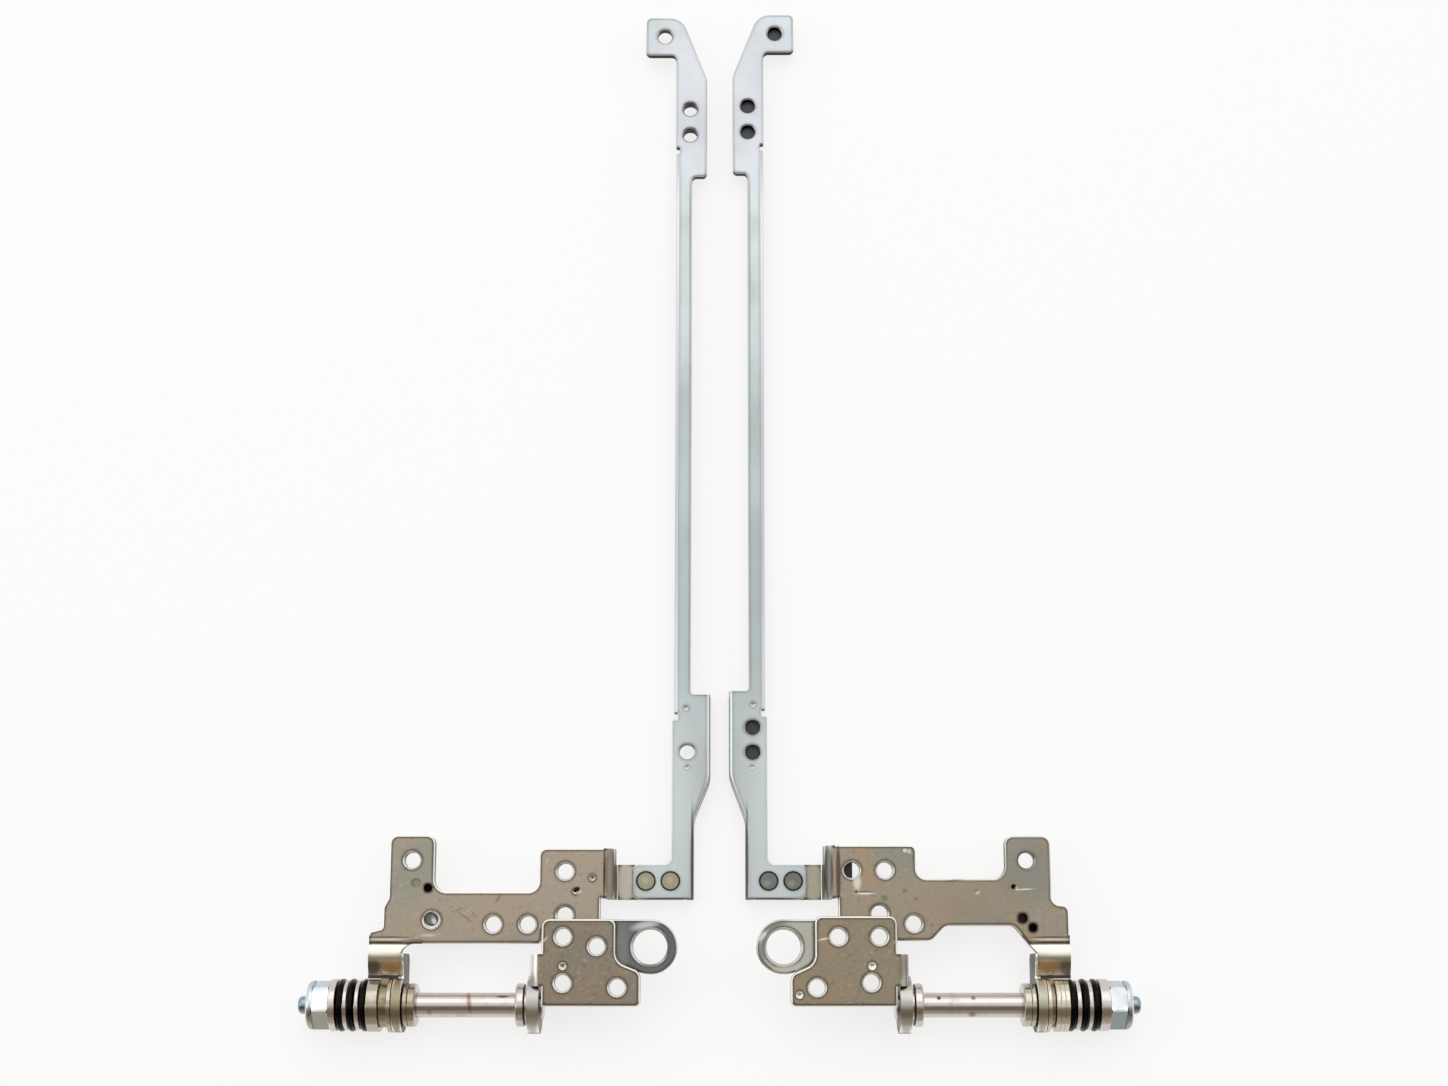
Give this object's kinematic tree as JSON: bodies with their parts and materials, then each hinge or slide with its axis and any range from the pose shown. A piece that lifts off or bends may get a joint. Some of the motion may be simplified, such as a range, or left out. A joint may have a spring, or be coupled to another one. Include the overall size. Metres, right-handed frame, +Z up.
{
  "type": "laptop hinge pair",
  "caption": "Left and right friction hinges of a laptop lid, each a base bracket and shaft with disc springs and a lock nut, a lid bracket and a long riveted strap.",
  "frame": {"origin": "on the table, under the middle of the box that holds both hinges", "axes": "+Y up the long straps away from the shafts, +X to the right hinge, +Z up from the table towards the base brackets; both lids shut"},
  "size_m": [0.137, 0.1798, 0.0092],
  "materials": {
    "bracket_steel": "satin, stained",
    "strap_zinc": "satin zinc plate",
    "rivet_steel": "satin",
    "shaft_steel": "polished, stained",
    "dark_steel": "dark, oiled",
    "spring_steel": "black oxide, glossy",
    "spacer_steel": "bright",
    "nut_zinc": "bright zinc plate"
  },
  "bodies": {
    "lid_side": {"left_lid_bracket": "bracket_steel", "left_lid_strap": "strap_zinc", "left_strap_rivets": "rivet_steel", "left_keyed_washer": "bracket_steel", "right_lid_bracket": "bracket_steel", "right_lid_strap": "strap_zinc", "right_strap_rivets": "rivet_steel", "right_keyed_washer": "bracket_steel"},
    "left_base": {"left_base_bracket": "bracket_steel", "left_hinge_shaft": "shaft_steel", "left_thrust_washer": "shaft_steel", "left_friction_ring": "dark_steel", "left_pressure_washer": "dark_steel", "left_disc_spring_1": "spring_steel", "left_disc_spring_2": "spring_steel", "left_disc_spring_3": "spring_steel", "left_spring_spacers": "spacer_steel", "left_nut_washer": "spring_steel", "left_lock_nut": "nut_zinc"},
    "right_base": {"right_base_bracket": "bracket_steel", "right_hinge_shaft": "shaft_steel", "right_thrust_washer": "shaft_steel", "right_friction_ring": "dark_steel", "right_pressure_washer": "dark_steel", "right_disc_spring_1": "spring_steel", "right_disc_spring_2": "spring_steel", "right_disc_spring_3": "spring_steel", "right_spring_spacers": "spacer_steel", "right_nut_washer": "spring_steel", "right_lock_nut": "nut_zinc"}
  },
  "joints": [
    {"name": "left_hinge_turn", "type": "hinge", "parent": "lid_side", "child": "left_base", "pos_m": [-0.05215, -0.0853, 0.0046], "axis": [1, 0, 0], "range_deg": [0, 135]},
    {"name": "right_hinge_turn", "type": "hinge", "parent": "lid_side", "child": "right_base", "pos_m": [0.05215, -0.0853, 0.0046], "axis": [1, 0, 0], "range_deg": [0, 135]}
  ]
}
